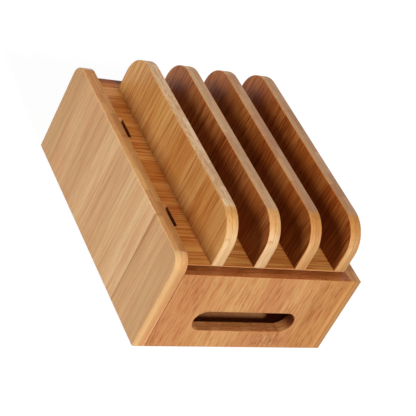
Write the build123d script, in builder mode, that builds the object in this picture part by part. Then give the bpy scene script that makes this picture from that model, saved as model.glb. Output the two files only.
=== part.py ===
"""Bamboo charging station organizer: a butt-jointed box with a lift-off shelf that carries four dividers.

Millimetres, +Z up. The origin is the centre of the footprint, on the table.
+X runs along the long side to the right, the front lip faces -Y and the back panel faces +Y.
"""
from build123d import *
import os

# Outside sizes of the box
length = 254.0
depth = 192.0
side_height = 83.1
lip_height = 98.4

# Boards
board = 11.4
front_board = 12.0
bottom_board = 5.0

# Softened edges
outer_arris = 1.0
arris = 0.8
lip_corner_radius = 13.4

# Lift-off shelf and its dividers
lid_clearance = 0.5
divider_count = 4
divider_rise = 46.3
divider_corner_radius = 27.0
divider_arris = 0.8

# Cable slots in the shelf, a pair in each compartment
slot_length = 25.9
slot_width = 4.2
slot_spacing = 113.2
slot_arris = 0.5

# Cable port in each side panel
port_length = 102.2
port_height = 22.6
port_centre_height = 30.5

# Bottom panel in its grooves
bottom_recess = 6.0
groove_depth = 4.0
groove_clearance = 0.2

# Cleats that carry the shelf
cleat_width = 10.0
cleat_height = 10.0
cleat_end_gap = 4.0

# Dowels at the butted corners
dowel_diameter = 6.0
dowel_length = 22.0
dowel_in_panel = 8.0
dowel_chamfer = 0.6
dowel_fit = 0.1
dowel_height_shares = (0.32, 0.82)

# Countersunk wood screws
screw_diameter = 3.4
screw_head_diameter = 6.8
screw_head_height = 2.2
screw_tip = 3.0
screw_fit = 0.1
screw_recess_width = 0.9
screw_recess_length = 3.6
screw_recess_depth = 1.2
divider_screw_bite = 17.0
cleat_screw_bite = 7.0
divider_screw_shares = (-0.36, 0.0, 0.36)
cleat_screw_shares = (-0.36, 0.0, 0.36)

# Feet
foot_diameter = 10.0
foot_height = 2.0
foot_inset = 9.0
foot_arris = 0.5

# Cuts run past the faces they open by this much
overrun = 1.0

# Faces of the box
half_length = length / 2
half_depth = depth / 2
base = foot_height
side_top = base + side_height
lip_top = base + lip_height
lip_inner = -half_depth + front_board
back_inner = half_depth - board
end_inner = half_length - board
inner_depth = back_inner - lip_inner
inner_middle = (lip_inner + back_inner) / 2

# Shelf, level with the side panels
lid_bottom = side_top - board
lid_half_length = end_inner - lid_clearance
lid_front = lip_inner + lid_clearance
lid_back = back_inner - lid_clearance
lid_depth = lid_back - lid_front
lid_middle = (lid_front + lid_back) / 2

# Equal compartments from the lip to the last divider, which ends with the shelf
divider_pitch = (lid_back - lip_inner) / divider_count
compartment = divider_pitch - board
divider_fronts = [lip_inner + divider_pitch * (k + 1) - board for k in range(divider_count)]
divider_half_length = lid_half_length
divider_top = side_top + divider_rise
slot_rows = [front - compartment / 2 for front in divider_fronts]
slot_places = [(x, row) for row in slot_rows for x in (-slot_spacing / 2, slot_spacing / 2)]

# Bottom panel and cleats
groove_bottom = base + bottom_recess
groove_height = bottom_board + groove_clearance
groove_half_length = end_inner + groove_depth
groove_width = inner_depth + 2 * groove_depth
cleat_length = inner_depth - 2 * cleat_end_gap
cleat_inner = end_inner - cleat_width
cleat_middle = lid_bottom - cleat_height / 2

# Fasteners
dowel_x = half_length - board / 2
front_dowel_start = lip_inner - dowel_in_panel
back_dowel_start = back_inner + dowel_in_panel - dowel_length
dowel_heights = [base + share * side_height for share in dowel_height_shares]
divider_screw_length = board + divider_screw_bite
cleat_screw_length = cleat_width + cleat_screw_bite

os.makedirs("parts", exist_ok=True)


def save(piece, name):
    """Label a finished piece and write its STEP file."""
    piece.label = name
    export_step(piece, f"parts/{name}.step")


def upright_board(half_width, low, high, front, thickness, corner_radius):
    """A board that stands across the length, from y = front backwards, with round upper corners."""
    with BuildPart() as upright:
        with BuildSketch(Plane.XZ.offset(-front)):
            with Locations((0, (low + high) / 2)):
                Rectangle(2 * half_width, high - low)
            fillet(vertices().group_by(Axis.Y)[-1], corner_radius)
        extrude(amount=-thickness)
    return upright.part


def upper_outline(face, low):
    """The edges of an upright face, without the one that it stands on."""
    return face.edges().filter_by(lambda edge: edge.center().Z > low + arris)


def dowel_cylinder(radius):
    """A plain dowel along +Y from the origin."""
    with BuildPart() as cylinder:
        with BuildSketch(Plane.XZ):
            Circle(radius)
        extrude(amount=-dowel_length)
    return cylinder.part


def screw_body(shank_length, extra):
    """A countersunk screw along +Z from the middle of its head, widened all round by extra."""
    shank = screw_diameter / 2 + extra
    head = screw_head_diameter / 2 + extra
    with BuildPart() as body:
        with BuildSketch(Plane.XZ):
            with BuildLine():
                Polyline(
                    (0, 0),
                    (head, 0),
                    (shank, screw_head_height),
                    (shank, shank_length - screw_tip),
                    (0, shank_length + extra),
                    close=True,
                )
            make_face()
        revolve(axis=Axis.Z)
    return body.part


def screw(shank_length):
    """A countersunk screw with a cross recess in its head."""
    plain = screw_body(shank_length, 0)
    with BuildPart() as recessed:
        add(plain)
        with BuildSketch(Plane.XY):
            Rectangle(screw_recess_length, screw_recess_width)
            Rectangle(screw_recess_width, screw_recess_length)
        extrude(amount=screw_recess_depth, mode=Mode.SUBTRACT)
    return recessed.part


def divider_screw_places(front):
    """Where the screws of the divider whose front face is at y = front enter the shelf."""
    return [(share * 2 * lid_half_length, front + board / 2, lid_bottom) for share in divider_screw_shares]


def cleat_screw_places(end):
    """Where the screws of one cleat enter it, turned to point at the end panel on side -1 or 1."""
    return [
        Location((end * cleat_inner, inner_middle + share * cleat_length, cleat_middle), (0, end * 90, 0))
        for share in cleat_screw_shares
    ]


def dowel_places(end, start):
    """Where the dowels of one corner start, on the end -1 or 1."""
    return [(end * dowel_x, start, height) for height in dowel_heights]


ends = {"left": -1, "right": 1}
plain_dowel = dowel_cylinder(dowel_diameter / 2)
dowel_hole = dowel_cylinder(dowel_diameter / 2 + dowel_fit)
divider_screw = screw(divider_screw_length)
divider_screw_hole = screw_body(divider_screw_length, screw_fit)
cleat_screw = screw(cleat_screw_length)
cleat_screw_hole = screw_body(cleat_screw_length, screw_fit)

# The space that the bottom panel takes in the four walls
with BuildPart() as groove:
    with BuildSketch(Plane.XY.offset(groove_bottom)):
        with Locations((0, inner_middle)):
            Rectangle(2 * groove_half_length, groove_width)
    extrude(amount=groove_height)

# Front panel, taller than the shelf so that it makes a lip
blank = upright_board(half_length, base, lip_top, -half_depth, front_board, lip_corner_radius)
with BuildPart() as front_panel:
    add(blank)
    fillet(upper_outline(front_panel.faces().sort_by(Axis.Y)[0], base), outer_arris)
    fillet(upper_outline(front_panel.faces().sort_by(Axis.Y)[-1], base), arris)
    add(groove.part, mode=Mode.SUBTRACT)
    with Locations(*dowel_places(-1, front_dowel_start), *dowel_places(1, front_dowel_start)):
        add(dowel_hole, mode=Mode.SUBTRACT)
save(front_panel.part, "front_panel")

# Back panel, level with the side panels
with BuildPart() as back_panel:
    with BuildSketch(Plane.XY.offset(base)):
        with Locations((0, half_depth - board / 2)):
            Rectangle(length, board)
    extrude(amount=side_height)
    fillet(upper_outline(back_panel.faces().sort_by(Axis.Y)[-1], base), outer_arris)
    fillet(upper_outline(back_panel.faces().sort_by(Axis.Y)[0], base), arris)
    add(groove.part, mode=Mode.SUBTRACT)
    with Locations(*dowel_places(-1, back_dowel_start), *dowel_places(1, back_dowel_start)):
        add(dowel_hole, mode=Mode.SUBTRACT)
save(back_panel.part, "back_panel")

# Side panels, butted between the front and the back, each with a cable port
for side, end in ends.items():
    with BuildPart() as side_panel:
        with BuildSketch(Plane.XY.offset(base)):
            with Locations((end * (half_length - board / 2), inner_middle)):
                Rectangle(board, inner_depth)
        extrude(amount=side_height)
        fillet(side_panel.faces().sort_by(Axis.Z)[-1].edges().filter_by(Axis.Y), arris)
        with BuildSketch(Plane.YZ.offset(end * (half_length - board / 2))):
            with Locations((inner_middle, base + port_centre_height)):
                SlotOverall(port_length, port_height)
        extrude(amount=board / 2 + overrun, both=True, mode=Mode.SUBTRACT)
        rims = [wire for face in side_panel.faces().filter_by(Axis.X) for wire in face.inner_wires()]
        fillet([edge for rim in rims for edge in rim.edges()], arris)
        add(groove.part, mode=Mode.SUBTRACT)
        with Locations(*dowel_places(end, front_dowel_start), *dowel_places(end, back_dowel_start)):
            add(dowel_hole, mode=Mode.SUBTRACT)
        with Locations(*cleat_screw_places(end)):
            add(cleat_screw_hole, mode=Mode.SUBTRACT)
    save(side_panel.part, f"{side}_side_panel")

# Bottom panel, loose in its grooves all round
with BuildPart() as bottom_panel:
    with BuildSketch(Plane.XY.offset(groove_bottom)):
        with Locations((0, inner_middle)):
            Rectangle(2 * (groove_half_length - groove_clearance), groove_width - 2 * groove_clearance)
    extrude(amount=bottom_board)
save(bottom_panel.part, "bottom_panel")

# Cleats under the ends of the shelf
for side, end in ends.items():
    with BuildPart() as cleat:
        with BuildSketch(Plane.XY.offset(lid_bottom - cleat_height)):
            with Locations((end * (end_inner - cleat_width / 2), inner_middle)):
                Rectangle(cleat_width, cleat_length)
        extrude(amount=cleat_height)
        inner_face = cleat.faces().sort_by(Axis.X)[0 if end > 0 else -1]
        fillet(inner_face.edges().filter_by(Axis.Y), arris)
        with Locations(*cleat_screw_places(end)):
            add(cleat_screw_hole, mode=Mode.SUBTRACT)
    save(cleat.part, f"{side}_lid_cleat")

# Shelf that lifts off, with a pair of cable slots in each compartment
with BuildPart() as lid_shelf:
    with BuildSketch(Plane.XY.offset(lid_bottom)):
        with Locations((0, lid_middle)):
            Rectangle(2 * lid_half_length, lid_depth)
    extrude(amount=board)
    lid_top = lid_shelf.faces().sort_by(Axis.Z)[-1]
    fillet(lid_top.edges().filter_by(Axis.Y) + lid_top.edges().sort_by(Axis.Y)[:1], arris)
    with BuildSketch(Plane.XY.offset(lid_bottom - overrun)):
        with Locations(*slot_places):
            SlotOverall(slot_length, slot_width)
    extrude(amount=board + 2 * overrun, mode=Mode.SUBTRACT)
    slot_rims = lid_shelf.faces().sort_by(Axis.Z)[-1].inner_wires()
    fillet([edge for rim in slot_rims for edge in rim.edges()], slot_arris)
    for front in divider_fronts:
        with Locations(*divider_screw_places(front)):
            add(divider_screw_hole, mode=Mode.SUBTRACT)
save(lid_shelf.part, "lid_shelf")

# Dividers, numbered from the lip to the back, and the screws that hold each one
for number, front in enumerate(divider_fronts, start=1):
    blank = upright_board(divider_half_length, side_top, divider_top, front, board, divider_corner_radius)
    with BuildPart() as divider:
        add(blank)
        for face in (divider.faces().sort_by(Axis.Y)[0], divider.faces().sort_by(Axis.Y)[-1]):
            fillet(upper_outline(face, side_top), divider_arris)
        with Locations(*divider_screw_places(front)):
            add(divider_screw_hole, mode=Mode.SUBTRACT)
    save(divider.part, f"divider_{number}")

    with BuildPart() as divider_screws:
        with Locations(*divider_screw_places(front)):
            add(divider_screw)
    save(divider_screws.part, f"divider_{number}_screws")

# Screws that hold each cleat to its end panel
for side, end in ends.items():
    with BuildPart() as cleat_screws:
        with Locations(*cleat_screw_places(end)):
            add(cleat_screw)
    save(cleat_screws.part, f"{side}_cleat_screws")

# Dowels of the four butted corners, and the rubber feet under them
corners = {"front": (front_dowel_start, -1), "back": (back_dowel_start, 1)}
for side, end in ends.items():
    for edge_name, (dowel_start, out) in corners.items():
        with BuildPart() as dowels:
            with Locations(*dowel_places(end, dowel_start)):
                add(plain_dowel)
            chamfer(dowels.edges().filter_by(GeomType.CIRCLE), dowel_chamfer)
        save(dowels.part, f"{edge_name}_{side}_dowels")

        with BuildPart() as foot:
            with BuildSketch(Plane.XY):
                with Locations((end * (half_length - foot_inset), out * (half_depth - foot_inset))):
                    Circle(foot_diameter / 2)
            extrude(amount=foot_height)
            fillet(foot.faces().sort_by(Axis.Z)[0].edges(), foot_arris)
        save(foot.part, f"{edge_name}_{side}_foot")
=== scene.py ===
"""Looks of a bamboo charging station organizer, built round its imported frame.

The object is a box of butted bamboo boards with a lift-off shelf, which carries four upright dividers.
Every board is laminated from bamboo strips, so one finish class draws strips, seams, fibres, a knuckle, plies
and end grain in real millimetres, and each board gives it its own strips and its own direction of grain.
"""
import logging
import math
from collections.abc import Mapping
from dataclasses import dataclass
from enum import Enum
from functools import partial

import bpy
from mathutils import Matrix, Vector


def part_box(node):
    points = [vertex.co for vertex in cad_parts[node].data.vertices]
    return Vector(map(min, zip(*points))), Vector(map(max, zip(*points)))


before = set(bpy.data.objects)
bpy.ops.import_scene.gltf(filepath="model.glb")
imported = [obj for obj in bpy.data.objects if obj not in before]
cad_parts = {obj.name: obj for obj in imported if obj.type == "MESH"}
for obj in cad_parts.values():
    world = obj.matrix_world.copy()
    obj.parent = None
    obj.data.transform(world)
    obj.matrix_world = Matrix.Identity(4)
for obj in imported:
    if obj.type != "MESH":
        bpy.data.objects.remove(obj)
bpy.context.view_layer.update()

log = logging.getLogger("organizer")

MM_PER_M = 1000.0

Corner = tuple[float, ...]


class Axis(Enum):
    """An axis of the part, as an index into a vector."""

    X = 0
    Y = 1
    Z = 2


class Strip(Enum):
    """The tone of one strip of a board: the colour that multiplies the tone of the board's palest strip."""

    PALE = "#FFFFFF"
    LIGHT = "#FBF7F3"
    MIDDLE = "#F3E9E1"
    DEEP = "#EBE1D4"
    DARK = "#ECD6C0"
    ROSE = "#F4E4DE"
    AMBER = "#EEE0C4"


def linear(hex_colour: str) -> tuple[float, float, float, float]:
    """Turn an sRGB hex value into linear red, green, blue and an alpha of 1.

    Args:
        hex_colour: The colour as "#RRGGBB".

    Returns:
        The colour that a shader socket takes.
    """
    shares = [int(hex_colour[k:k + 2], 16) / 255 for k in (1, 3, 5)]
    light = [s / 12.92 if s <= 0.04045 else ((s + 0.055) / 1.055) ** 2.4 for s in shares]
    return light[0], light[1], light[2], 1.0


def add_node(tree: bpy.types.NodeTree, kind: str, inputs: Mapping[int | str, object] | None = None,
             **settings: object) -> bpy.types.Node:
    """Add one node with its settings, and set or link its inputs.

    The socket numbers are Blender's own. A MapRange takes the value as 0, the range it comes from as 1 and 2,
    and the range it goes to as 3 and 4. A Mix of colours takes the share as 0, and its colours as 6 and 7.

    Args:
        tree: The node tree that gets the node.
        kind: The node's type without its "ShaderNode" prefix.
        inputs: Input socket to value, to the output that feeds it, or to the node whose first output does.
        settings: Properties of the node.

    Returns:
        The new node.
    """
    node = tree.nodes.new("ShaderNode" + kind)
    for name, value in settings.items():
        setattr(node, name, value)
    for socket, value in (inputs or {}).items():
        if isinstance(value, bpy.types.Node):
            value = next(output for output in value.outputs if output.enabled)
        if isinstance(value, bpy.types.NodeSocket):
            tree.links.new(value, node.inputs[socket])
        else:
            node.inputs[socket].default_value = value
    return node


def new_material(name: str) -> tuple[bpy.types.Material, bpy.types.NodeTree]:
    """Make an empty node material.

    Args:
        name: The material's name.

    Returns:
        The material and its cleared node tree.
    """
    material = bpy.data.materials.new(name)
    material.use_nodes = True
    material.node_tree.nodes.clear()
    return material, material.node_tree


@dataclass(frozen=True)
class Streaks:
    """One kind of fibre bundle: streaks along the grain that darken what lies under them.

    The streaks are noise stretched along the grain. What of it lies above start shows, fully from full on.
    Share is how strong the tint gets in the strip that shows it most. Sway bends the streaks sideways, as the
    fibres near a knuckle are.
    """

    width_mm: float
    length_mm: float
    tint: str
    share: float = 0.5
    start: float = 0.44
    full: float = 0.66
    sway_mm: float = 0.0


@dataclass(frozen=True)
class Knuckle:
    """What a bamboo joint leaves in one place of a board: a patch where the fibres are short and cross.

    Its middle is given from the board's low end along the grain, and from its low edge across.
    """

    along_mm: float
    across_mm: float
    half_along_mm: float
    half_across_mm: float
    dashes: Streaks


# Single fibre bundles of bamboo are 0.3 to 0.5 mm wide. A pixel of the render shows about 0.9 mm, so the
# finest streaks are drawn 0.9 to 1.3 mm wide, or they wouldn't show.
FINE = Streaks(1.2, 60.0, "#E2D6C2", share=0.7)
DRIFT = Streaks(17.0, 110.0, "#F2E8DC", share=0.6, start=0.38, full=0.66)
FLECKS = Streaks(0.9, 8.0, "#D8BFA6", share=0.5, start=0.56, full=0.72)

# The lacquer is thin and half matt, so it mirrors about half of what a full gloss of its index would
LACQUER_IOR = 1.45
LACQUER_SPECULAR = 0.25


@dataclass(frozen=True)
class Bamboo:
    """Laminated bamboo board under a satin clear lacquer.

    The board is pressed from strips that lie side by side, in two plies glued back to back. To the eye that
    gives bands of slightly different tone, long dark and pale fibres along the grain, a glue line along the
    middle of each edge, and end grain that is darker than the face. The lacquer adds a soft sheen.

    Attributes:
        name: The material's name.
        grain: The axis that the fibres run along.
        across: The axis that the strips lie side by side along.
        box_mm: The board's lowest and highest corner.
        face: The tone of the palest strip.
        strips: The strips' tones in turn.
        edge_plies: The tones of the two plies on a long edge.
        end_plies: The tones of the two plies on a sawn end.
        seed: What tells this board's fibres from another's.
        streaks: The kinds of fibre bundle, from the ground up.
        strip_mm: The width of a strip.
        first_seam_mm: The first seam's place, from the board's low edge.
        bold_seams: The strips that begin with a seam that stands out.
        knuckles: The board's knuckles.
        block_share: How much the strips differ on a sawn end.
        tan_share: How tan an edge is where it curves into the end.
        edge_streaks: How strong the streaks are off the face, against the face.
        glue_share: How strong the glue line is.
        cut_walls: The tones of a sawn opening's upright and level walls, where the board has one; the darker
            upright tone is painted shade.
        roughness: The lacquer's roughness.
    """

    name: str
    grain: Axis
    across: Axis
    box_mm: tuple[Corner, Corner]
    face: str
    strips: tuple[Strip, ...]
    edge_plies: tuple[str, str]
    end_plies: tuple[str, str]
    seed: float
    streaks: tuple[Streaks, ...] = (DRIFT, FINE, FLECKS)
    strip_mm: float = 29.0
    first_seam_mm: float = -1.5
    bold_seams: tuple[int, ...] = ()
    knuckles: tuple[Knuckle, ...] = ()
    block_share: float = 0.5
    tan_share: float = 0.0
    edge_streaks: float = 0.5
    glue_share: float = 0.35
    cut_walls: tuple[str, str] | None = None
    roughness: float = 0.38

    @property
    def through(self) -> Axis:
        """The axis through the board's thickness."""
        return Axis(3 - self.grain.value - self.across.value)

    def low(self, axis: Axis) -> float:
        """Where the board begins along an axis, in millimetres."""
        return self.box_mm[0][axis.value]

    def middle(self, axis: Axis) -> float:
        """The board's middle along an axis, in millimetres."""
        return (self.box_mm[0][axis.value] + self.box_mm[1][axis.value]) / 2

    def material(self) -> bpy.types.Material:
        """Build the board's material.

        Returns:
            A material whose pattern reads object coordinates, which are the part's own.
        """
        material, tree = new_material(self.name)
        layup = Layup(tree, self)
        colour = layup.wood()
        for kind, streaks in enumerate(self.streaks):
            colour = layup.streaked(colour, streaks, kind)
        for knuckle in self.knuckles:
            colour = layup.knuckled(colour, knuckle)
        colour = layup.seamed(colour)
        rough, bump = layup.lacquer()
        shader = add_node(tree, "BsdfPrincipled", {
            "Base Color": colour, "Roughness": rough, "IOR": LACQUER_IOR,
            "Specular IOR Level": LACQUER_SPECULAR, "Normal": bump})
        add_node(tree, "OutputMaterial", {0: shader})
        return material


class Layup:
    """Where a point lies in a laminated board, and the layers of the pattern that are drawn from that.

    The surface's normal tells the face, the long edge and the sawn end apart. Each turn gives how far the
    normal leans toward one of them where its finish begins to show, and where it has wholly taken over.
    """

    FACE_TURN = (0.50, 0.90)
    END_TURN = (0.97, 0.999)
    CORNER_TURN = (0.30, 0.90)
    WALL_TURN = (0.20, 0.90)
    # The second ply's strips start half a strip further along, and three more give them other tones
    PLY_SHIFT = 3.5
    # The plies' tones blend through the thickness, all but this share of it next to each face
    PLY_MARGIN = 0.2
    # Off the face the strips differ less, and the noise changes at a quarter of its pace across the grain
    STRIPS_OFF_FACE = 0.6
    OFF_FACE_PACE = 0.25
    # A sawn opening's tone fades in between these depths below the board's top, in millimetres
    BELOW_TOP_MM = (4.0, 6.0)
    # How far the noise moves on from one strip to the next, and from one kind of streak to the next
    STRIP_STEP = 3.7
    KIND_STEP = 11.0
    LACQUER_KIND = 7
    KNUCKLE_KIND = 9
    # In the strip that shows a kind of streak least, it is this share of its full strength
    LEAST_SHARE = 0.5
    # How far apart, across and along the grain, the bends of swaying fibres are, in millimetres
    SWAY_MM = (12.0, 14.0)
    # How far from its middle a line has faded out, and where it is at its full strength, in millimetres
    SEAM_MM = (1.2, 0.3)
    BOLD_MM = (5.5, 0.6)
    GLUE_MM = (0.6, 0.1)
    SEAM_SHARES = (0.10, 0.45)
    BOLD_SHARE = 0.85
    # How far the lacquer's roughness strays to each side, and how high the fibres stand under it
    ROUGH_SPAN = 0.08
    RAISED_MM = 0.06
    # Tints that darken the wood below them
    TAN = "#F2D6A2"
    END_BLOCK = "#C9A994"
    SEAM = "#CFAF92"
    BOLD_SHADE = "#DFCBB8"
    GLUE = "#C09A78"

    def __init__(self, tree: bpy.types.NodeTree, board: Bamboo) -> None:
        """Work out the point's place in the board.

        Args:
            tree: The material's node tree.
            board: The board.
        """
        self.node = partial(add_node, tree)
        self.board = board
        place = self.node("TexCoord")
        in_mm = self.node("VectorMath", {0: place.outputs["Object"], "Scale": MM_PER_M}, operation="SCALE")
        axes = self.node("SeparateXYZ", {0: in_mm}).outputs
        facing = self.node("SeparateXYZ", {0: place.outputs["Normal"]}).outputs
        self.across, self.along = axes[board.across.value], axes[board.grain.value]
        self.through = axes[board.through.value]
        toward_face = self.node("Math", {0: facing[board.through.value]}, operation="ABSOLUTE")
        self.toward_end = self.node("Math", {0: facing[board.grain.value]}, operation="ABSOLUTE")
        self.on_face = self.node("MapRange", {0: toward_face, 1: self.FACE_TURN[0], 2: self.FACE_TURN[1]},
                                 interpolation_type="SMOOTHSTEP")
        self.ply = self.node("Math", {0: self.through, 1: board.middle(board.through)},
                             operation="GREATER_THAN")
        self.strip, self.in_strip_mm = self.strip_place()
        # Three random numbers for each strip, so that no two strips look alike
        luck = self.node("Math", {0: self.strip, 1: board.seed}, operation="ADD")
        self.luck = self.node("SeparateXYZ", {
            0: self.node("TexWhiteNoise", {"W": luck}, noise_dimensions="1D").outputs["Color"]}).outputs

    def strip_place(self) -> tuple[bpy.types.Node, bpy.types.Node]:
        """Find the strip that a point lies in: the second ply's strips start half a strip further along.

        Returns:
            The strip's number, and how far into it the point is, in millimetres.
        """
        board = self.board
        from_seam = self.node("Math", {
            0: self.across, 1: board.low(board.across) + board.first_seam_mm}, operation="SUBTRACT")
        strips = self.node("Math", {0: from_seam, 1: board.strip_mm}, operation="DIVIDE")
        place = self.node("Math", {0: self.ply, 1: self.PLY_SHIFT, 2: strips}, operation="MULTIPLY_ADD")
        share = self.node("Math", {0: place}, operation="FRACT")
        return (self.node("Math", {0: place}, operation="FLOOR"),
                self.node("Math", {0: share, 1: board.strip_mm}, operation="MULTIPLY"))

    def strip_tones(self) -> bpy.types.Node:
        """Give each strip the next of the board's tones, and begin again after the last.

        Returns:
            The tone as a colour ramp without blending.
        """
        count = len(self.board.strips)
        turn = self.node("Math", {0: self.strip, 1: float(count), 2: 0.0}, operation="WRAP")
        # The ramp is read in the middle of each step, where rounding can't pick the next one
        step = self.node("Math", {0: turn, 1: 1.0 / count, 2: 0.5 / count}, operation="MULTIPLY_ADD")
        tones = self.node("ValToRGB", {0: step})
        tones.color_ramp.interpolation = "CONSTANT"
        while len(tones.color_ramp.elements) < count:
            tones.color_ramp.elements.new(0.5)
        for number, tone in enumerate(self.board.strips):
            tones.color_ramp.elements[number].position = number / count
            tones.color_ramp.elements[number].color = linear(tone.value)
        return tones

    def sides(self, on_end: bpy.types.Node) -> bpy.types.Node:
        """Draw the plies as they show off the face: on a long edge, on an end, and in a sawn opening.

        Args:
            on_end: 1 on a sawn end, and 0 off it.

        Returns:
            The colour.
        """
        board = self.board
        low_mm, high_mm = (corner[board.through.value] for corner in board.box_mm)
        near, far = 1.0 - self.PLY_MARGIN, self.PLY_MARGIN
        ply = self.node("MapRange", {0: self.through, 1: near * low_mm + far * high_mm,
                                     2: far * low_mm + near * high_mm}, interpolation_type="SMOOTHSTEP")
        edge = self.node("Mix", {0: ply, 6: linear(board.edge_plies[0]), 7: linear(board.edge_plies[1])},
                         data_type="RGBA")
        end = self.node("Mix", {0: ply, 6: linear(board.end_plies[0]), 7: linear(board.end_plies[1])},
                        data_type="RGBA")
        colour = self.node("Mix", {0: on_end, 6: edge, 7: end}, data_type="RGBA")
        # Where an edge curves into the end, off the end itself, a tan tint is multiplied in, as strong as
        # tan_share
        tan = self.node("MapRange", {0: self.toward_end, 1: self.CORNER_TURN[0], 2: self.CORNER_TURN[1],
                                     4: board.tan_share}, interpolation_type="SMOOTHSTEP")
        off_end = self.node("Math", {0: 1.0, 1: on_end}, operation="SUBTRACT")
        tan = self.node("Math", {0: tan, 1: off_end}, operation="MULTIPLY")
        colour = self.node("Mix", {0: tan, 6: colour, 7: linear(self.TAN)}, data_type="RGBA",
                           blend_type="MULTIPLY")
        if not board.cut_walls:
            return colour
        # The upright walls of a sawn opening take the darker tone, which is painted shade inside the opening
        level = self.node("MapRange", {0: self.toward_end, 1: self.WALL_TURN[0], 2: self.WALL_TURN[1]},
                          interpolation_type="SMOOTHSTEP")
        wall = self.node("Mix", {0: level, 6: linear(board.cut_walls[0]), 7: linear(board.cut_walls[1])},
                         data_type="RGBA")
        top_mm = board.box_mm[1][board.grain.value]
        inside = self.node("MapRange", {0: self.along, 1: top_mm - self.BELOW_TOP_MM[0],
                                        2: top_mm - self.BELOW_TOP_MM[1]})
        return self.node("Mix", {0: inside, 6: colour, 7: wall}, data_type="RGBA")

    def wood(self) -> bpy.types.Node:
        """Lay down the ground tone: that of the face, or of the plies off it, each in the strips' tones.

        Returns:
            The colour.
        """
        on_end = self.node("MapRange", {0: self.toward_end, 1: self.END_TURN[0], 2: self.END_TURN[1]},
                           interpolation_type="SMOOTHSTEP")
        ground = self.node("Mix", {0: self.on_face, 6: self.sides(on_end), 7: linear(self.board.face)},
                           data_type="RGBA")
        share = self.node("MapRange", {0: self.on_face, 3: self.STRIPS_OFF_FACE, 4: 1.0})
        striped = self.node("Mix", {0: share, 6: ground, 7: self.strip_tones()}, data_type="RGBA",
                            blend_type="MULTIPLY")
        # Cut across, each strip takes the lacquer differently, so the ends are a row of blocks
        blocks = self.node("Math", {0: on_end, 1: self.luck[1]}, operation="MULTIPLY")
        blocks = self.node("Math", {0: blocks, 1: self.board.block_share}, operation="MULTIPLY")
        return self.node("Mix", {0: blocks, 6: striped, 7: linear(self.END_BLOCK)}, data_type="RGBA",
                         blend_type="MULTIPLY")

    def fibres(self, streaks: Streaks, kind: int) -> bpy.types.Node:
        """Draw noise that is width_mm wide across the grain, length_mm long along it, and new in each strip.

        On an edge or an end the noise is four times as long across the grain, as the plies are pressed flat.

        Args:
            streaks: The kind of streak.
            kind: Its number, which tells its noise from the others'.

        Returns:
            The noise, from 0 to 1.
        """
        slower = self.node("MapRange", {0: self.on_face, 3: self.OFF_FACE_PACE, 4: 1.0})
        across = self.node("Math", {0: self.across, 1: slower}, operation="MULTIPLY")
        if streaks.sway_mm:
            bend = self.node("CombineXYZ", {
                0: self.node("Math", {0: self.across, 1: self.SWAY_MM[0]}, operation="DIVIDE"),
                1: self.node("Math", {0: self.along, 1: self.SWAY_MM[1]}, operation="DIVIDE")})
            noise = self.node("TexNoise", {"Vector": bend, "W": self.board.seed, "Scale": 1.0, "Detail": 1.0},
                              noise_dimensions="4D")
            # The noise lies within 0.5 of its mean, so twice the sway moves a fibre by one sway at most
            across = self.node("Math", {0: noise, 1: streaks.sway_mm * 2.0, 2: across},
                               operation="MULTIPLY_ADD")
        vector = self.node("CombineXYZ", {
            0: self.node("Math", {0: across, 1: streaks.width_mm}, operation="DIVIDE"),
            1: self.node("Math", {0: self.through, 1: streaks.width_mm}, operation="DIVIDE"),
            2: self.node("Math", {0: self.along, 1: streaks.length_mm}, operation="DIVIDE")})
        start = self.node("Math", {0: self.strip, 1: self.STRIP_STEP,
                                   2: self.board.seed + self.KIND_STEP * kind}, operation="MULTIPLY_ADD")
        return self.node("TexNoise", {"Vector": vector, "W": start, "Scale": 1.0, "Detail": 2.0,
                                      "Roughness": 0.5}, noise_dimensions="4D")

    def streaked(self, ground: bpy.types.Node, streaks: Streaks, kind: int) -> bpy.types.Node:
        """Lay streaks over the ground, stronger in some strips than in others.

        Args:
            ground: The colour below.
            streaks: The kind of streak.
            kind: Its number.

        Returns:
            The streaked colour.
        """
        strong = self.node("MapRange", {0: self.luck[kind % len(self.luck)],
                                        3: self.LEAST_SHARE * streaks.share, 4: streaks.share})
        most = self.node("MapRange", {0: self.on_face, 3: self.board.edge_streaks, 4: 1.0})
        most = self.node("Math", {0: most, 1: strong}, operation="MULTIPLY")
        share = self.node("MapRange", {0: self.fibres(streaks, kind), 1: streaks.start, 2: streaks.full,
                                       4: most}, interpolation_type="SMOOTHSTEP")
        return self.node("Mix", {0: share, 6: ground, 7: linear(streaks.tint)}, data_type="RGBA",
                         blend_type="MULTIPLY")

    def knuckled(self, ground: bpy.types.Node, knuckle: Knuckle) -> bpy.types.Node:
        """Draw a knuckle: short swaying dashes in an oval, which fade from its middle to its rim.

        A point's reach is (across / half_across)^2 + (along / half_along)^2: 0 in the middle, 1 on the rim.

        Args:
            ground: The colour below.
            knuckle: The knuckle's place and size.

        Returns:
            The colour with the knuckle.
        """
        board = self.board
        offsets = []
        for value, middle, half in (
                (self.across, board.low(board.across) + knuckle.across_mm, knuckle.half_across_mm),
                (self.along, board.low(board.grain) + knuckle.along_mm, knuckle.half_along_mm)):
            away = self.node("Math", {0: value, 1: middle}, operation="SUBTRACT")
            offsets.append(self.node("Math", {0: away, 1: half}, operation="DIVIDE"))
        square = self.node("Math", {0: offsets[1], 1: offsets[1]}, operation="MULTIPLY")
        reach = self.node("Math", {0: offsets[0], 1: offsets[0], 2: square}, operation="MULTIPLY_ADD")
        inside = self.node("MapRange", {0: reach, 1: 1.0, 2: 0.0}, interpolation_type="SMOOTHSTEP")
        dashes = knuckle.dashes
        most = self.node("Math", {0: inside, 1: dashes.share}, operation="MULTIPLY")
        share = self.node("MapRange", {0: self.fibres(dashes, self.KNUCKLE_KIND), 1: dashes.start,
                                       2: dashes.full, 4: most}, interpolation_type="SMOOTHSTEP")
        return self.node("Mix", {0: share, 6: ground, 7: linear(dashes.tint)}, data_type="RGBA",
                         blend_type="MULTIPLY")

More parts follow.
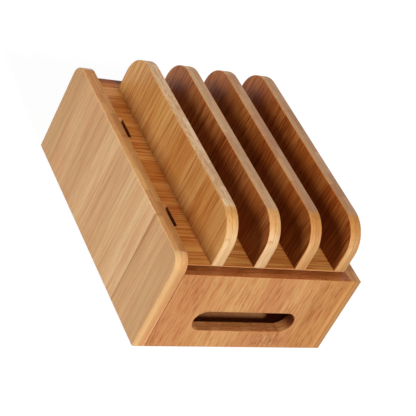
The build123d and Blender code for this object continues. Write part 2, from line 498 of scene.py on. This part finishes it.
    def seamed(self, ground: bpy.types.Node) -> bpy.types.Node:
        """Draw the seams between strips, the bold ones with the shade beside them, and the plies' glue line.

        Args:
            ground: The colour below.

        Returns:
            The colour with the seams.
        """
        board = self.board
        share = self.node("MapRange", {0: self.luck[2], 3: self.SEAM_SHARES[0], 4: self.SEAM_SHARES[1]})
        seam = self.node("MapRange", {0: self.in_strip_mm, 1: self.SEAM_MM[0], 2: self.SEAM_MM[1], 4: share},
                         interpolation_type="SMOOTHSTEP")
        colour = self.node("Mix", {0: seam, 6: ground, 7: linear(self.SEAM)}, data_type="RGBA",
                           blend_type="MULTIPLY")
        for number in board.bold_seams:
            here = self.node("Math", {0: self.strip, 1: float(number), 2: 0.5}, operation="COMPARE")
            most = self.node("Math", {0: here, 1: self.BOLD_SHARE}, operation="MULTIPLY")
            beside = self.node("MapRange", {0: self.in_strip_mm, 1: self.BOLD_MM[0], 2: self.BOLD_MM[1],
                                            4: most}, interpolation_type="SMOOTHSTEP")
            colour = self.node("Mix", {0: beside, 6: colour, 7: linear(self.BOLD_SHADE)}, data_type="RGBA",
                               blend_type="MULTIPLY")
        off = self.node("Math", {0: self.through, 1: board.middle(board.through)}, operation="SUBTRACT")
        from_glue = self.node("Math", {0: off}, operation="ABSOLUTE")
        glue = self.node("MapRange", {0: from_glue, 1: self.GLUE_MM[0], 2: self.GLUE_MM[1],
                                      4: board.glue_share}, interpolation_type="SMOOTHSTEP")
        return self.node("Mix", {0: glue, 6: colour, 7: linear(self.GLUE)}, data_type="RGBA",
                         blend_type="MULTIPLY")

    def lacquer(self) -> tuple[bpy.types.Node, bpy.types.Node]:
        """Vary the sheen a little from fibre to fibre, and raise the fibres by hundredths of a millimetre.

        Returns:
            The roughness and the bumped normal.
        """
        fine = self.fibres(FINE, self.LACQUER_KIND)
        rough = self.node("MapRange", {0: fine, 3: self.board.roughness - self.ROUGH_SPAN,
                                       4: self.board.roughness + self.ROUGH_SPAN})
        bump = self.node("Bump", {"Strength": 0.3, "Distance": self.RAISED_MM / MM_PER_M, "Height": fine})
        return rough, bump


@dataclass(frozen=True)
class Plain:
    """A part with one colour and a fine mottle: turned dowel, plated screw or moulded rubber."""

    name: str
    colour: str
    shade: str
    grit_mm: float
    roughness: float
    metallic: float = 0.0
    bump_mm: float = 0.02
    rough_span: float = 0.1

    def material(self) -> bpy.types.Material:
        """Build the material.

        Returns:
            A material with a mottle grit_mm across between colour and shade.
        """
        material, tree = new_material(self.name)
        place = add_node(tree, "TexCoord")
        noise = add_node(tree, "TexNoise", {
            "Vector": place.outputs["Object"], "Scale": MM_PER_M / self.grit_mm, "Detail": 3.0})
        colour = add_node(tree, "Mix", {0: noise, 6: linear(self.colour), 7: linear(self.shade)},
                          data_type="RGBA")
        rough = add_node(tree, "MapRange", {0: noise, 3: self.roughness - self.rough_span,
                                            4: self.roughness + self.rough_span})
        bump = add_node(tree, "Bump", {"Strength": 0.4, "Distance": self.bump_mm / MM_PER_M, "Height": noise})
        shader = add_node(tree, "BsdfPrincipled", {
            "Base Color": colour, "Roughness": rough, "Metallic": self.metallic, "Normal": bump})
        add_node(tree, "OutputMaterial", {0: shader})
        return material


def dress(node: str, material: bpy.types.Material) -> None:
    """Give a node of the frame its material.

    Args:
        node: The node's name.
        material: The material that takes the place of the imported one.
    """
    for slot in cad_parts[node].material_slots:
        slot.material = material
    log.info("%s wears %s", node, material.name)


def box_mm(node: str) -> tuple[Corner, Corner]:
    """Lowest and highest corner of a node at rest, in millimetres."""
    low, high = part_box(node)
    return tuple(v * MM_PER_M for v in low), tuple(v * MM_PER_M for v in high)


# Turned beech without a finish: to the eye pale pink-brown and dry, with short flecks
BEECH = Plain("raw_beech_dowel", "#D9BE98", "#C6A67C", grit_mm=1.5, roughness=0.7)
# Steel screws in bright zinc: a cool grey metal that mirrors softly, with a faint cloud from the plating bath
ZINC = Plain("bright_zinc_plated_steel", "#C9CCD0", "#AEB2B8", grit_mm=0.8, roughness=0.32, metallic=1.0)
# Moulded rubber: near black and dull, with the fine grain of its mould
RUBBER = Plain("moulded_black_rubber", "#1C1C1D", "#262627", grit_mm=0.6, roughness=0.75)


@dataclass(frozen=True)
class SideBoard:
    """What sets one side board apart from the other: its fibres, its sawn ends and its knuckles."""

    side: str
    seed: float
    ends: tuple[str, str]
    knuckles: tuple[Knuckle, ...] = ()


@dataclass
class CableBox:
    """The box: four butted panels, the floor, the cleats that carry the shelf, and what joins them."""

    wall_strip_mm: float = 28.4
    front_strips: tuple[Strip, ...] = (
        Strip.DEEP, Strip.MIDDLE, Strip.MIDDLE, Strip.LIGHT, Strip.MIDDLE, Strip.LIGHT, Strip.PALE,
        Strip.MIDDLE, Strip.DEEP)
    side_strips: tuple[Strip, ...] = (
        Strip.ROSE, Strip.LIGHT, Strip.AMBER, Strip.ROSE, Strip.LIGHT, Strip.PALE)
    back_strips: tuple[Strip, ...] = (
        Strip.LIGHT, Strip.MIDDLE, Strip.DEEP, Strip.LIGHT, Strip.ROSE, Strip.MIDDLE)
    floor_strips: tuple[Strip, ...] = (Strip.LIGHT, Strip.MIDDLE, Strip.ROSE, Strip.LIGHT)
    front_streaks: tuple[Streaks, ...] = (
        Streaks(15.0, 120.0, "#F4EBE0", share=0.7, start=0.38, full=0.66),
        Streaks(6.0, 70.0, "#F7E2D6", share=0.8),
        Streaks(2.4, 110.0, "#E8DFC8", share=0.7),
        Streaks(1.3, 60.0, "#E6CFBC", share=0.6),
        FLECKS)
    side_streaks: tuple[Streaks, ...] = (
        DRIFT,
        Streaks(5.0, 45.0, "#F6DDCE", share=0.7, sway_mm=1.0),
        Streaks(2.4, 60.0, "#E0D2B8", share=0.8),
        Streaks(1.3, 14.0, "#DDB298", share=0.9, start=0.48, full=0.64, sway_mm=1.2),
        FLECKS)
    sides: tuple[SideBoard, ...] = (
        # The right board's sawn top is darker on its inner ply, beside the shelf: in part painted shade from
        # the shelf's edge
        SideBoard("right", 29.0, ("#915629", "#AC6C39"), (
            Knuckle(along_mm=9.0, across_mm=117.0, half_along_mm=12.0, half_across_mm=22.0,
                    dashes=Streaks(1.5, 4.5, "#C49272", share=0.75, start=0.44, full=0.60, sway_mm=2.0)),)),
        SideBoard("left", 41.0, ("#915421", "#CA8735")))

    def boards(self) -> dict[str, Bamboo]:
        """The finish of each board of the box, by node."""
        finishes = {
            "front_panel": Bamboo(
                "bamboo_front_board", grain=Axis.Z, across=Axis.X, box_mm=box_mm("front_panel"),
                face="#D8B283", strips=self.front_strips, edge_plies=("#D4B07F", "#C29364"),
                end_plies=("#DBA86A", "#BA8546"), seed=3.0, streaks=self.front_streaks,
                strip_mm=self.wall_strip_mm, first_seam_mm=0.8, bold_seams=(7,), block_share=0.8,
                edge_streaks=0.8),
            "back_panel": Bamboo(
                "bamboo_back_board", grain=Axis.Z, across=Axis.X, box_mm=box_mm("back_panel"),
                face="#CFA068", strips=self.back_strips, edge_plies=("#C08B50", "#A07441"),
                end_plies=("#BB8E59", "#BB8E59"), seed=17.0, streaks=self.front_streaks,
                strip_mm=self.wall_strip_mm, glue_share=0.8, edge_streaks=0.8),
            # The floor board's tone is darker than the walls': partly painted shade for the dark inside of
            # the box
            "bottom_panel": Bamboo(
                "bamboo_floor_board", grain=Axis.X, across=Axis.Y, box_mm=box_mm("bottom_panel"),
                face="#B07C50", strips=self.floor_strips, edge_plies=("#C08B50", "#C08B50"),
                end_plies=("#A8703C", "#A8703C"), seed=53.0)}
        for board in self.sides:
            panel, cleat = f"{board.side}_side_panel", f"{board.side}_lid_cleat"
            finishes[panel] = Bamboo(
                f"bamboo_{board.side}_board", grain=Axis.Z, across=Axis.Y, box_mm=box_mm(panel),
                face="#B78956", strips=self.side_strips, edge_plies=("#965A30", "#965A30"),
                end_plies=board.ends, seed=board.seed, streaks=self.side_streaks,
                strip_mm=self.wall_strip_mm, first_seam_mm=14.0, knuckles=board.knuckles,
                cut_walls=("#8E5032", "#C38B58"), block_share=1.0, edge_streaks=1.0)
            finishes[cleat] = Bamboo(
                f"bamboo_{board.side}_cleat", grain=Axis.Y, across=Axis.Z, box_mm=box_mm(cleat),
                face="#C08A50", strips=self.floor_strips, edge_plies=("#C08A50", "#C08A50"),
                end_plies=("#A8703C", "#A8703C"), seed=board.seed + 1.0)
        return finishes

    def dress(self) -> None:
        """Give every node of the box its finish."""
        for node, finish in self.boards().items():
            dress(node, finish.material())
        beech, zinc, rubber = BEECH.material(), ZINC.material(), RUBBER.material()
        for side in ("left", "right"):
            dress(f"{side}_cleat_screws", zinc)
            for edge in ("front", "back"):
                dress(f"{edge}_{side}_dowels", beech)
                dress(f"{edge}_{side}_foot", rubber)


@dataclass
class LiftOffShelf:
    """The shelf that lifts off, with its four dividers and the screws that hold them.

    The first divider is of calmer bamboo than the three behind it, whose fibres are short and dark. The three
    behind it also get darker face tones, which are partly painted shade of the narrow gaps between the
    dividers.
    """

    strip_mm: float = 29.3
    # Dividers 2 to 4 have darker face tones than divider 1: partly painted shade between the dividers
    divider_faces: tuple[str, ...] = ("#CEA162", "#B47842", "#AF7037", "#B57338")
    divider_edges: tuple[tuple[str, str], ...] = (
        ("#D0B286", "#C6A87C"), ("#D0B086", "#C4A47A"), ("#C19663", "#B28856"), ("#BE9562", "#B08758"))
    divider_ends: tuple[tuple[str, str], ...] = (
        ("#DFC69E", "#D9C09E"), ("#C2A17A", "#BD9C78"), ("#BA9067", "#AF8A69"), ("#B89169", "#AF8C6C"))
    shelf_strips: tuple[Strip, ...] = (
        Strip.MIDDLE, Strip.MIDDLE, Strip.PALE, Strip.LIGHT, Strip.DEEP, Strip.MIDDLE, Strip.LIGHT,
        Strip.DARK)
    divider_strips: tuple[Strip, ...] = (
        Strip.PALE, Strip.MIDDLE, Strip.LIGHT, Strip.LIGHT, Strip.DARK, Strip.MIDDLE, Strip.DARK,
        Strip.MIDDLE)
    shelf_streaks: tuple[Streaks, ...] = (
        DRIFT,
        Streaks(2.0, 70.0, "#CE966E", share=0.8, start=0.46, full=0.60),
        Streaks(5.0, 110.0, "#E2BC98", share=0.7),
        Streaks(1.1, 30.0, "#D0A484", share=0.8),
        FLECKS)
    calm_streaks: tuple[Streaks, ...] = (
        DRIFT,
        Streaks(2.0, 90.0, "#DCB48E", share=0.65, start=0.46, full=0.60),
        Streaks(6.0, 130.0, "#EBD0B0", share=0.25),
        Streaks(1.2, 40.0, "#D6AC88", share=0.8),
        FLECKS)
    lively_streaks: tuple[Streaks, ...] = (
        DRIFT,
        Streaks(1.8, 60.0, "#C89A74", share=0.75, start=0.46, full=0.60),
        Streaks(5.0, 60.0, "#DCB08C", share=0.6, start=0.44, full=0.64),
        Streaks(1.0, 22.0, "#B88662", share=0.9, start=0.46, full=0.60),
        FLECKS)

    def dress(self) -> None:
        """Give every node of the shelf its finish."""
        dress("lid_shelf", Bamboo(
            "bamboo_shelf_board", grain=Axis.Y, across=Axis.X, box_mm=box_mm("lid_shelf"), face="#CB904C",
            strips=self.shelf_strips, edge_plies=("#B4845A", "#B4845A"), end_plies=("#A86E38", "#A86E38"),
            seed=61.0, streaks=self.shelf_streaks, strip_mm=self.strip_mm).material())
        zinc = ZINC.material()
        tones = zip(self.divider_faces, self.divider_edges, self.divider_ends)
        for number, (face, edges, ends) in enumerate(tones, start=1):
            name = f"divider_{number}"
            calm = number == 1
            dress(name, Bamboo(
                f"bamboo_{name}_board", grain=Axis.Z, across=Axis.X, box_mm=box_mm(name), face=face,
                strips=self.divider_strips, edge_plies=edges, end_plies=ends, seed=71.0 + number,
                streaks=self.calm_streaks if calm else self.lively_streaks, strip_mm=self.strip_mm,
                first_seam_mm=-6.0, tan_share=0.8, edge_streaks=0.8 if calm else 0.3).material())
            dress(f"{name}_screws", zinc)


@dataclass(frozen=True)
class SoftLight:
    """A wide soft box far from the object: 0 degrees is in front of the lip and 90 off the right end.

    Gloss doesn't see it: the lacquer's sheen comes from the white surround, which burns out no pale board.
    """

    name: str
    azimuth: float
    elevation: float
    strength: float
    spread: float = 18.0
    away_m: float = 2.0

    def hang(self) -> bpy.types.Object:
        """Add the light.

        Returns:
            The lamp, turned to shine at the object.
        """
        data = bpy.data.lights.new(self.name, "SUN")
        data.energy, data.angle = self.strength, math.radians(self.spread)
        lamp = bpy.data.objects.new(self.name, data)
        lamp.visible_glossy = False
        azimuth, elevation = math.radians(self.azimuth), math.radians(self.elevation)
        away = Vector((math.sin(azimuth) * math.cos(elevation), -math.cos(azimuth) * math.cos(elevation),
                       math.sin(elevation)))
        turn = (-away).to_track_quat("-Z", "Y").to_matrix().to_4x4()
        lamp.matrix_world = Matrix.Translation(away * self.away_m) @ turn
        bpy.context.scene.collection.objects.link(lamp)
        return lamp


@dataclass
class Studio:
    """The photograph's camera, a white floor and surround, and soft lights.

    The camera's numbers fit the box's straight edges to the photograph, which is photo_px wide.
    """

    focal_px: float = 1499.455
    photo_px: int = 416
    camera_mm: tuple[float, float, float] = (858.35, -718.6, 781.9)
    azimuth_deg: float = 49.6
    elevation_deg: float = 33.077
    roll_deg: float = 28.961
    # One key light off the right end, and dimmer ones all round that give each side the photograph's shade
    lights: tuple[SoftLight, ...] = (
        SoftLight("key_right", 90.0, 27.5, 3.97, spread=10.0),
        SoftLight("front_high", 0.0, 24.0, 1.4),
        SoftLight("front_middle", 0.0, 14.0, 0.34),
        SoftLight("front_low", 0.0, 4.0, 0.29),
        SoftLight("front_left_low", -30.0, 4.0, 0.74),
        SoftLight("right_back", 120.0, 14.0, 0.13),
        SoftLight("back_right", 150.0, 14.0, 0.21),
        SoftLight("back_right_low", 150.0, 4.0, 0.49),
        SoftLight("back_left", 210.0, 14.0, 0.68),
        SoftLight("left_back_low", 240.0, 4.0, 0.40),
        SoftLight("left_low", 270.0, 4.0, 1.2))

    def camera(self) -> bpy.types.Object:
        """Set the camera that matches the photograph.

        Returns:
            The camera, turned about its own line of sight by the roll that tilts the object in the frame.
        """
        data = bpy.data.cameras.new("camera")
        data.sensor_width = 36.0
        data.lens = data.sensor_width * self.focal_px / self.photo_px
        data.clip_start, data.clip_end = 0.05, 50.0
        camera = bpy.data.objects.new("camera", data)
        azimuth, elevation = math.radians(self.azimuth_deg), math.radians(self.elevation_deg)
        forward = Vector((-math.sin(azimuth) * math.cos(elevation), math.cos(azimuth) * math.cos(elevation),
                          -math.sin(elevation)))
        turn = forward.to_track_quat("-Z", "Y").to_matrix().to_4x4()
        roll = Matrix.Rotation(math.radians(self.roll_deg), 4, "Z")
        camera.matrix_world = Matrix.Translation(Vector(self.camera_mm) / MM_PER_M) @ turn @ roll
        bpy.context.scene.collection.objects.link(camera)
        bpy.context.scene.camera = camera
        return camera

    def floor(self, side_m: float = 12.0, glow: float = 0.93) -> bpy.types.Object:
        """Lay the white floor: it is seen lit from within, so that only a faint shadow stays on it.

        Args:
            side_m: The floor's side.
            glow: How strong the light from within is, where 1 is white.

        Returns:
            The floor.
        """
        half = side_m / 2
        corners = [(-half, -half, 0), (half, -half, 0), (half, half, 0), (-half, half, 0)]
        mesh = bpy.data.meshes.new("floor")
        mesh.from_pydata(corners, [], [(0, 1, 2, 3)])
        floor = bpy.data.objects.new("floor", mesh)
        bpy.context.scene.collection.objects.link(floor)
        material, tree = new_material("white_paper_sweep")
        node = partial(add_node, tree)
        # Grey paper throws as much light up at the object as the photograph shows on its lower parts
        paper = node("BsdfDiffuse", {"Color": linear("#A8A8A8")})
        # Darker paper under the glow adds up to white, and loses a few hundredths of it in the shadow
        dim_paper = node("BsdfDiffuse", {"Color": linear("#646464")})
        light = node("Emission", {"Color": linear("#FFFFFF"), "Strength": glow})
        lit = node("AddShader", {0: dim_paper, 1: light})
        mix = node("MixShader", {0: self.seen(tree), 1: paper, 2: lit})
        node("OutputMaterial", {0: mix})
        mesh.materials.append(material)
        return floor

    @staticmethod
    def seen(tree: bpy.types.NodeTree) -> bpy.types.Node:
        """Whether the camera sees this point, straight, in gloss or through glass: 1 where it does.

        Args:
            tree: The node tree that asks.

        Returns:
            The last node of the test.
        """
        rays = add_node(tree, "LightPath").outputs
        sheen = add_node(tree, "Math", {0: rays["Is Glossy Ray"], 1: rays["Is Transmission Ray"]},
                         operation="MAXIMUM")
        return add_node(tree, "Math", {0: rays["Is Camera Ray"], 1: sheen}, operation="MAXIMUM")

    def world(self, strength: float = 0.03) -> None:
        """Surround the object with white for the camera and in gloss, and with dim light on matt surfaces.

        Args:
            strength: Strength of the surround's light on matt surfaces.
        """
        world = bpy.data.worlds.new("white_surround")
        bpy.context.scene.world = world
        world.use_nodes = True
        tree = world.node_tree
        tree.nodes.clear()
        bright = add_node(tree, "MapRange", {0: self.seen(tree), 3: strength, 4: 1.0})
        sky = add_node(tree, "Background", {"Color": linear("#FFFFFF"), "Strength": bright})
        add_node(tree, "OutputWorld", {0: sky})

    def set_up(self) -> None:
        """Build the camera, the floor, the surround and the lights."""
        self.camera()
        self.floor()
        self.world()
        for light in self.lights:
            light.hang()
        bpy.context.scene.view_settings.view_transform = "Standard"
        log.info("studio with %d lights", len(self.lights))


def main() -> None:
    """Dress the object and set the studio round it."""
    logging.basicConfig(level=logging.INFO, format="%(message)s")
    for assembly in (CableBox(), LiftOffShelf()):
        assembly.dress()
    Studio().set_up()


if __name__ == "__main__":
    main()
